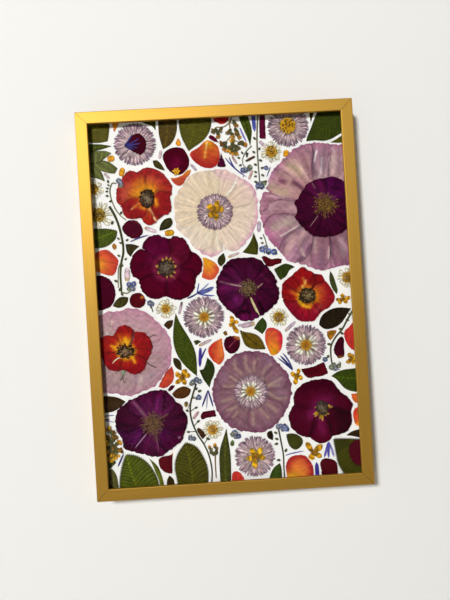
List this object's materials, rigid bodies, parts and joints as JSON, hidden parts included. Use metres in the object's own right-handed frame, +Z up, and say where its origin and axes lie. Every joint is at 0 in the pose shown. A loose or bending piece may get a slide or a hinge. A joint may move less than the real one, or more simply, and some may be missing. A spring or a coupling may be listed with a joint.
{
  "type": "pressed flower frame",
  "caption": "Upright picture frame of slim gold rails with dried pressed flowers and leaves sealed between clear glass and a white card, hung from a toothed hanger.",
  "frame": {"origin": "the nail under the middle tooth of the hanger, in the plane of the wall that the back of the rails rests on", "axes": "+Z up the wall, +X to the right as the face is seen, the glazed face looks towards -Y and the wall is the plane Y = 0"},
  "size_m": [0.219, 0.02, 0.306],
  "materials": {
    "gold_rail": "satin",
    "zinc_hardware": "satin",
    "spring_steel": "satin",
    "glass": "polished",
    "card": "matte",
    "board": "matte",
    "lilac_petal": "matte",
    "maroon_petal": "matte",
    "purple_petal": "matte",
    "red_petal": "matte",
    "orange_petal": "matte",
    "cream_petal": "matte",
    "mauve_petal": "matte",
    "pink_petal": "matte",
    "yellow_petal": "matte",
    "white_petal": "matte",
    "blue_petal": "matte",
    "green_leaf": "matte",
    "olive_leaf": "matte",
    "brown_leaf": "matte",
    "stem": "matte"
  },
  "bodies": {
    "root": {"rail_top": "gold_rail", "rail_bottom": "gold_rail", "rail_left": "gold_rail", "rail_right": "gold_rail", "glass": "glass", "mount_card": "card", "backing_board": "board", "corner_plate_top_left": "zinc_hardware", "screw_top_left_1": "zinc_hardware", "screw_top_left_2": "zinc_hardware", "corner_plate_top_right": "zinc_hardware", "screw_top_right_1": "zinc_hardware", "screw_top_right_2": "zinc_hardware", "corner_plate_bottom_left": "zinc_hardware", "screw_bottom_left_1": "zinc_hardware", "screw_bottom_left_2": "zinc_hardware", "corner_plate_bottom_right": "zinc_hardware", "screw_bottom_right_1": "zinc_hardware", "screw_bottom_right_2": "zinc_hardware", "spring_clip_upper_left": "spring_steel", "spring_clip_upper_right": "spring_steel", "spring_clip_lower_left": "spring_steel", "spring_clip_lower_right": "spring_steel", "hanger": "zinc_hardware", "aster_top_left": "lilac_petal", "aster_top_right": "lilac_petal", "aster_on_cream_flower": "lilac_petal", "aster_with_daisy_left": "lilac_petal", "aster_with_daisy_right": "lilac_petal", "aster_on_mauve_flower": "lilac_petal", "aster_bottom": "lilac_petal", "petal_on_aster": "maroon_petal", "red_flower_left": "red_petal", "cream_flower": "cream_petal", "ruffled_flower": "pink_petal", "rose_on_ruffled_flower": "purple_petal", "burgundy_flower_left": "maroon_petal", "rose_middle": "purple_petal", "red_flower_right": "red_petal", "pale_lilac_flower": "pink_petal", "red_flower_on_lilac_flower": "red_petal", "mauve_flower": "mauve_petal", "rose_bottom_left": "purple_petal", "burgundy_flower_right": "maroon_petal", "leaf_top_left": "green_leaf", "lobed_leaf": "green_leaf", "brown_leaf_top": "brown_leaf", "leaf_top_middle": "green_leaf", "leaf_top_right": "green_leaf", "maroon_petal_top": "maroon_petal", "orange_petal_top": "orange_petal", "long_leaf_middle": "green_leaf", "brown_leaf_right": "brown_leaf", "orange_petal_middle": "orange_petal", "leaf_right": "green_leaf", "leaf_bottom_left": "green_leaf", "leaf_bottom_middle": "green_leaf", "narrow_leaf_bottom": "green_leaf", "leaf_bottom_right": "olive_leaf"}
  },
  "joints": []
}
